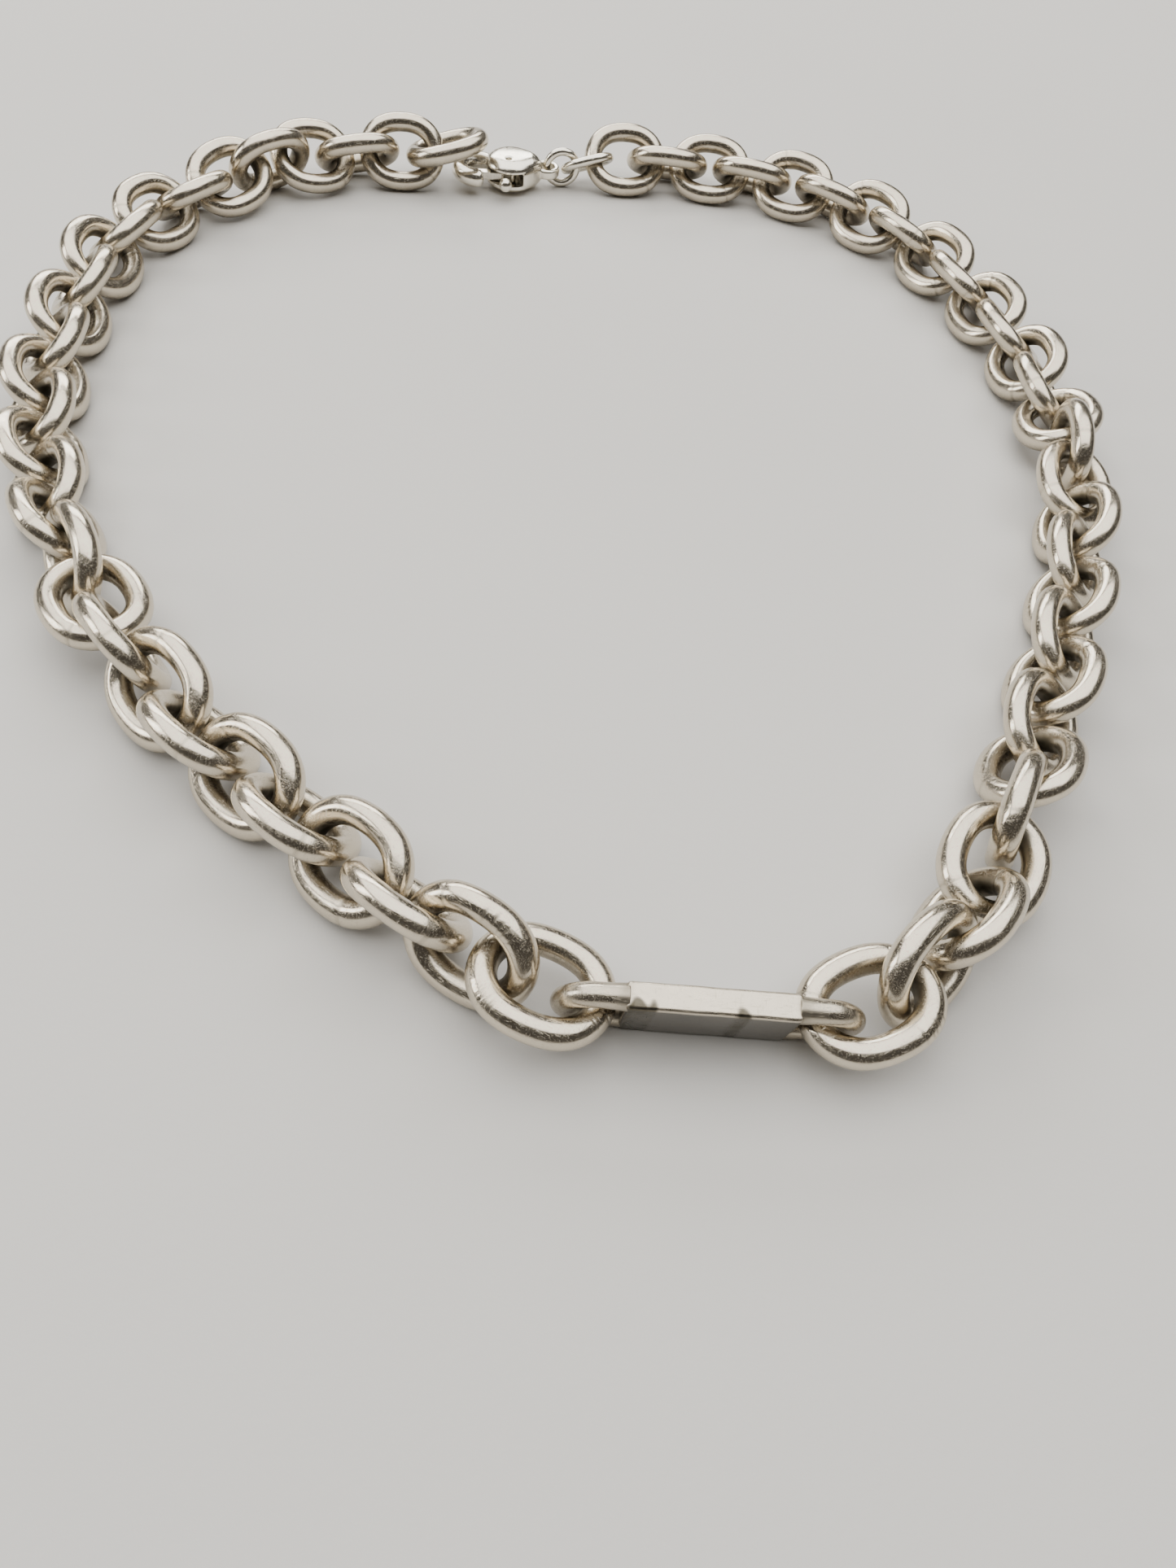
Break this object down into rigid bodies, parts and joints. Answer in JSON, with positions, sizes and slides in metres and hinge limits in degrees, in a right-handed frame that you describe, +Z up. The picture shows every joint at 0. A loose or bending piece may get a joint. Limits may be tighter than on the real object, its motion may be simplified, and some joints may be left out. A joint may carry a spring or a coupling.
{
  "type": "link necklace",
  "caption": "Heavy necklace of round-wire oval links lying closed, with a small identity plate at the front and a lobster clasp at the back.",
  "frame": {"origin": "centre of the underside of the whole necklace, on the table", "axes": "+X along the plate to the right, +Y from the plate to the clasp, +Z up"},
  "size_m": [0.1394, 0.1612, 0.0111],
  "materials": {
    "link_silver": "polished sterling silver with fine wear scratches",
    "plate_silver": "polished sterling silver, satin on the long edge",
    "clasp_silver": "smooth polished sterling silver",
    "spring_steel": "plain drawn wire"
  },
  "bodies": {
    "plate": {"plate": "plate_silver", "plate_end_loops": "link_silver"},
    "link_left_01": {"link_left_01": "link_silver"},
    "link_left_02": {"link_left_02": "link_silver"},
    "link_left_03": {"link_left_03": "link_silver"},
    "link_left_04": {"link_left_04": "link_silver"},
    "link_left_05": {"link_left_05": "link_silver"},
    "link_left_06": {"link_left_06": "link_silver"},
    "link_left_07": {"link_left_07": "link_silver"},
    "link_left_08": {"link_left_08": "link_silver"},
    "link_left_09": {"link_left_09": "link_silver"},
    "link_left_10": {"link_left_10": "link_silver"},
    "link_left_11": {"link_left_11": "link_silver"},
    "link_left_12": {"link_left_12": "link_silver"},
    "link_left_13": {"link_left_13": "link_silver"},
    "link_left_14": {"link_left_14": "link_silver"},
    "link_left_15": {"link_left_15": "link_silver"},
    "link_left_16": {"link_left_16": "link_silver"},
    "link_left_17": {"link_left_17": "link_silver"},
    "link_left_18": {"link_left_18": "link_silver"},
    "link_left_19_20": {"link_left_19_20": "link_silver"},
    "link_left_21": {"link_left_21": "link_silver"},
    "link_left_22_23": {"link_left_22_23": "link_silver"},
    "link_left_24": {"link_left_24": "link_silver"},
    "link_left_25": {"link_left_25": "link_silver"},
    "link_left_26_27": {"link_left_26_27": "link_silver"},
    "link_left_28": {"link_left_28": "link_silver"},
    "link_left_29": {"link_left_29": "link_silver"},
    "link_right_01": {"link_right_01": "link_silver"},
    "link_right_02": {"link_right_02": "link_silver"},
    "link_right_03": {"link_right_03": "link_silver"},
    "link_right_04": {"link_right_04": "link_silver"},
    "link_right_05": {"link_right_05": "link_silver"},
    "link_right_06": {"link_right_06": "link_silver"},
    "link_right_07": {"link_right_07": "link_silver"},
    "link_right_08": {"link_right_08": "link_silver"},
    "link_right_09": {"link_right_09": "link_silver"},
    "link_right_10": {"link_right_10": "link_silver"},
    "link_right_11": {"link_right_11": "link_silver"},
    "link_right_12": {"link_right_12": "link_silver"},
    "link_right_13": {"link_right_13": "link_silver"},
    "link_right_14": {"link_right_14": "link_silver"},
    "link_right_15": {"link_right_15": "link_silver"},
    "link_right_16": {"link_right_16": "link_silver"},
    "link_right_17": {"link_right_17": "link_silver"},
    "link_right_18": {"link_right_18": "link_silver"},
    "link_right_19_20": {"link_right_19_20": "link_silver"},
    "link_right_21": {"link_right_21": "link_silver"},
    "link_right_22": {"link_right_22": "link_silver"},
    "link_right_23_24": {"link_right_23_24": "link_silver"},
    "link_right_25": {"link_right_25": "link_silver"},
    "link_right_26": {"link_right_26": "link_silver"},
    "link_right_27_28": {"link_right_27_28": "link_silver"},
    "link_right_29": {"link_right_29": "link_silver"},
    "small_link": {"small_link": "link_silver"},
    "jump_ring": {"jump_ring": "link_silver"},
    "clasp": {"clasp_body": "clasp_silver", "clasp_pin": "spring_steel", "clasp_spring": "spring_steel"},
    "clasp_lever": {"clasp_lever": "clasp_silver"}
  },
  "joints": [
    {"name": "hinge_left_01", "type": "hinge", "parent": "plate", "child": "link_left_01", "pos_m": [0.00477, -0.07586, 0.00418], "axis": [0, 0, 1], "range_deg": [0, 20]},
    {"name": "hinge_left_02", "type": "hinge", "parent": "link_left_01", "child": "link_left_02", "pos_m": [-0.00187, -0.07362, 0.00506], "axis": [0, 0, -1], "range_deg": [-20, 0]},
    {"name": "hinge_left_03", "type": "hinge", "parent": "link_left_02", "child": "link_left_03", "pos_m": [-0.00794, -0.07013, 0.00506], "axis": [0, 0, 1], "range_deg": [0, 20]},
    {"name": "hinge_left_04", "type": "hinge", "parent": "link_left_03", "child": "link_left_04", "pos_m": [-0.01358, -0.06599, 0.00467], "axis": [0, 0, -1], "range_deg": [-20, 0]},
    {"name": "hinge_left_05", "type": "hinge", "parent": "link_left_04", "child": "link_left_05", "pos_m": [-0.01913, -0.06172, 0.00421], "axis": [0, 0, 1], "range_deg": [0, 20]},
    {"name": "hinge_left_06", "type": "hinge", "parent": "link_left_05", "child": "link_left_06", "pos_m": [-0.02469, -0.05747, 0.00428], "axis": [0, 0, -1], "range_deg": [-20, 0]},
    {"name": "hinge_left_07", "type": "hinge", "parent": "link_left_06", "child": "link_left_07", "pos_m": [-0.03016, -0.0531, 0.00428], "axis": [0, 0, 1], "range_deg": [0, 20]},
    {"name": "hinge_left_08", "type": "hinge", "parent": "link_left_07", "child": "link_left_08", "pos_m": [-0.03539, -0.04846, 0.00427], "axis": [0, 0, -1], "range_deg": [-20, 0]},
    {"name": "hinge_left_09", "type": "hinge", "parent": "link_left_08", "child": "link_left_09", "pos_m": [-0.0403, -0.04346, 0.00519], "axis": [0, 0, 1], "range_deg": [0, 20]},
    {"name": "hinge_left_10", "type": "hinge", "parent": "link_left_09", "child": "link_left_10", "pos_m": [-0.04484, -0.03814, 0.00519], "axis": [0, 0, -1], "range_deg": [-20, 0]},
    {"name": "hinge_left_11", "type": "hinge", "parent": "link_left_10", "child": "link_left_11", "pos_m": [-0.049, -0.0325, 0.00522], "axis": [0, 0, 1], "range_deg": [0, 20]},
    {"name": "hinge_left_12", "type": "hinge", "parent": "link_left_11", "child": "link_left_12", "pos_m": [-0.05274, -0.02659, 0.00522], "axis": [0, 0, -1], "range_deg": [-20, 0]},
    {"name": "hinge_left_13", "type": "hinge", "parent": "link_left_12", "child": "link_left_13", "pos_m": [-0.05608, -0.02044, 0.00439], "axis": [0, 0, 1], "range_deg": [0, 20]},
    {"name": "hinge_left_14", "type": "hinge", "parent": "link_left_13", "child": "link_left_14", "pos_m": [-0.05903, -0.01409, 0.00409], "axis": [0, 0, -1], "range_deg": [-20, 0]},
    {"name": "hinge_left_15", "type": "hinge", "parent": "link_left_14", "child": "link_left_15", "pos_m": [-0.06152, -0.00755, 0.00399], "axis": [0, 0, 1], "range_deg": [0, 20]},
    {"name": "hinge_left_16", "type": "hinge", "parent": "link_left_15", "child": "link_left_16", "pos_m": [-0.06342, -0.00081, 0.00402], "axis": [0, 0, -1], "range_deg": [-20, 0]},
    {"name": "hinge_left_17", "type": "hinge", "parent": "link_left_16", "child": "link_left_17", "pos_m": [-0.0646, 0.00609, 0.00413], "axis": [0, 0, 1], "range_deg": [0, 20]},
    {"name": "hinge_left_18", "type": "hinge", "parent": "link_left_17", "child": "link_left_18", "pos_m": [-0.06516, 0.01307, 0.00424], "axis": [0, 0, -1], "range_deg": [-20, 0]},
    {"name": "hinge_left_19", "type": "hinge", "parent": "link_left_18", "child": "link_left_19_20", "pos_m": [-0.06533, 0.02007, 0.00428], "axis": [0, 0, 1], "range_deg": [0, 20]},
    {"name": "hinge_left_21", "type": "hinge", "parent": "link_left_19_20", "child": "link_left_21", "pos_m": [-0.06457, 0.03403, 0.00425], "axis": [0, 0, 1], "range_deg": [0, 20]},
    {"name": "hinge_left_22", "type": "hinge", "parent": "link_left_21", "child": "link_left_22_23", "pos_m": [-0.06274, 0.04079, 0.00414], "axis": [0, 0, -1], "range_deg": [-20, 0]},
    {"name": "hinge_left_24", "type": "hinge", "parent": "link_left_22_23", "child": "link_left_24", "pos_m": [-0.05552, 0.05274, 0.00396], "axis": [0, 0, -1], "range_deg": [-20, 0]},
    {"name": "hinge_left_25", "type": "hinge", "parent": "link_left_24", "child": "link_left_25", "pos_m": [-0.05087, 0.05797, 0.00519], "axis": [0, 0, 1], "range_deg": [0, 20]},
    {"name": "hinge_left_26", "type": "hinge", "parent": "link_left_25", "child": "link_left_26_27", "pos_m": [-0.04556, 0.06252, 0.00519], "axis": [0, 0, -1], "range_deg": [-20, 0]},
    {"name": "hinge_left_28", "type": "hinge", "parent": "link_left_26_27", "child": "link_left_28", "pos_m": [-0.03271, 0.06788, 0.00488], "axis": [0, 0, -1], "range_deg": [-20, 0]},
    {"name": "hinge_left_29", "type": "hinge", "parent": "link_left_28", "child": "link_left_29", "pos_m": [-0.0258, 0.06901, 0.00488], "axis": [0, 0, 1], "range_deg": [0, 10]},
    {"name": "hinge_right_01", "type": "hinge", "parent": "plate", "child": "link_right_01", "pos_m": [0.02657, -0.07586, 0.00418], "axis": [0, 0, -1], "range_deg": [0, 20]},
    {"name": "hinge_right_02", "type": "hinge", "parent": "link_right_01", "child": "link_right_02", "pos_m": [0.03283, -0.07273, 0.00513], "axis": [0, 0, 1], "range_deg": [-20, 0]},
    {"name": "hinge_right_03", "type": "hinge", "parent": "link_right_02", "child": "link_right_03", "pos_m": [0.03769, -0.0677, 0.00513], "axis": [0, 0, -1], "range_deg": [0, 20]},
    {"name": "hinge_right_04", "type": "hinge", "parent": "link_right_03", "child": "link_right_04", "pos_m": [0.04151, -0.06183, 0.00458], "axis": [0, 0, 1], "range_deg": [-15, 0]},
    {"name": "hinge_right_05", "type": "hinge", "parent": "link_right_04", "child": "link_right_05", "pos_m": [0.04477, -0.05564, 0.00549], "axis": [0, 0, -1], "range_deg": [0, 15]},
    {"name": "hinge_right_06", "type": "hinge", "parent": "link_right_05", "child": "link_right_06", "pos_m": [0.04776, -0.04931, 0.00549], "axis": [0, 0, 1], "range_deg": [-20, 0]},
    {"name": "hinge_right_07", "type": "hinge", "parent": "link_right_06", "child": "link_right_07", "pos_m": [0.05057, -0.0429, 0.00397], "axis": [0, 0, -1], "range_deg": [0, 20]},
    {"name": "hinge_right_08", "type": "hinge", "parent": "link_right_07", "child": "link_right_08", "pos_m": [0.05325, -0.03643, 0.00407], "axis": [0, 0, 1], "range_deg": [-20, 0]},
    {"name": "hinge_right_09", "type": "hinge", "parent": "link_right_08", "child": "link_right_09", "pos_m": [0.05582, -0.02992, 0.00418], "axis": [0, 0, -1], "range_deg": [0, 20]},
    {"name": "hinge_right_10", "type": "hinge", "parent": "link_right_09", "child": "link_right_10", "pos_m": [0.0582, -0.02334, 0.00427], "axis": [0, 0, 1], "range_deg": [-20, 0]},
    {"name": "hinge_right_11", "type": "hinge", "parent": "link_right_10", "child": "link_right_11", "pos_m": [0.06032, -0.01667, 0.00428], "axis": [0, 0, -1], "range_deg": [0, 20]},
    {"name": "hinge_right_12", "type": "hinge", "parent": "link_right_11", "child": "link_right_12", "pos_m": [0.0621, -0.0099, 0.00448], "axis": [0, 0, 1], "range_deg": [-20, 0]},
    {"name": "hinge_right_13", "type": "hinge", "parent": "link_right_12", "child": "link_right_13", "pos_m": [0.06347, -0.00303, 0.00448], "axis": [0, 0, -1], "range_deg": [0, 15]},
    {"name": "hinge_right_14", "type": "hinge", "parent": "link_right_13", "child": "link_right_14", "pos_m": [0.06434, 0.00391, 0.00554], "axis": [0, 0, 1], "range_deg": [-15, 0]},
    {"name": "hinge_right_15", "type": "hinge", "parent": "link_right_14", "child": "link_right_15", "pos_m": [0.06467, 0.01091, 0.00554], "axis": [0, 0, -1], "range_deg": [0, 20]},
    {"name": "hinge_right_16", "type": "hinge", "parent": "link_right_15", "child": "link_right_16", "pos_m": [0.0645, 0.0179, 0.00423], "axis": [0, 0, 1], "range_deg": [-20, 0]},
    {"name": "hinge_right_17", "type": "hinge", "parent": "link_right_16", "child": "link_right_17", "pos_m": [0.06386, 0.02487, 0.00423], "axis": [0, 0, -1], "range_deg": [0, 20]},
    {"name": "hinge_right_18", "type": "hinge", "parent": "link_right_17", "child": "link_right_18", "pos_m": [0.06273, 0.03178, 0.00412], "axis": [0, 0, 1], "range_deg": [-20, 0]},
    {"name": "hinge_right_19", "type": "hinge", "parent": "link_right_18", "child": "link_right_19_20", "pos_m": [0.06105, 0.03858, 0.00401], "axis": [0, 0, -1], "range_deg": [0, 20]},
    {"name": "hinge_right_21", "type": "hinge", "parent": "link_right_19_20", "child": "link_right_21", "pos_m": [0.05578, 0.05153, 0.0041], "axis": [0, 0, -1], "range_deg": [0, 20]},
    {"name": "hinge_right_22", "type": "hinge", "parent": "link_right_21", "child": "link_right_22", "pos_m": [0.05207, 0.05747, 0.00421], "axis": [0, 0, 1], "range_deg": [-20, 0]},
    {"name": "hinge_right_23", "type": "hinge", "parent": "link_right_22", "child": "link_right_23_24", "pos_m": [0.0476, 0.06285, 0.00428], "axis": [0, 0, -1], "range_deg": [0, 20]},
    {"name": "hinge_right_25", "type": "hinge", "parent": "link_right_23_24", "child": "link_right_25", "pos_m": [0.03648, 0.07128, 0.00426], "axis": [0, 0, -1], "range_deg": [0, 20]},
    {"name": "hinge_right_26", "type": "hinge", "parent": "link_right_25", "child": "link_right_26", "pos_m": [0.03003, 0.07402, 0.00417], "axis": [0, 0, 1], "range_deg": [-20, 0]},
    {"name": "hinge_right_27", "type": "hinge", "parent": "link_right_26", "child": "link_right_27_28", "pos_m": [0.02322, 0.07563, 0.00405], "axis": [0, 0, -1], "range_deg": [0, 20]},
    {"name": "hinge_right_29", "type": "hinge", "parent": "link_right_27_28", "child": "link_right_29", "pos_m": [0.00926, 0.07563, 0.00439], "axis": [0, 0, -1], "range_deg": [0, 20]},
    {"name": "hinge_small_link", "type": "hinge", "parent": "link_right_29", "child": "small_link", "pos_m": [0.00236, 0.07442, 0.00439], "axis": [0, 0, 1], "range_deg": [-10, 0]},
    {"name": "hinge_jump_ring", "type": "hinge", "parent": "small_link", "child": "jump_ring", "pos_m": [-0.00282, 0.07332, 0.00305], "axis": [0, 0, -1], "range_deg": [0, 20]},
    {"name": "hinge_clasp", "type": "hinge", "parent": "jump_ring", "child": "clasp", "pos_m": [-0.00669, 0.07251, 0.0026], "axis": [0, 0, 1], "range_deg": [-20, 0]},
    {"name": "hinge_lever", "type": "hinge", "parent": "clasp", "child": "clasp_lever", "pos_m": [-0.01264, 0.06972, 0.0026], "axis": [0, 0, -1], "range_deg": [0, 20], "stiffness_Nm_per_rad": 0.002}
  ]
}
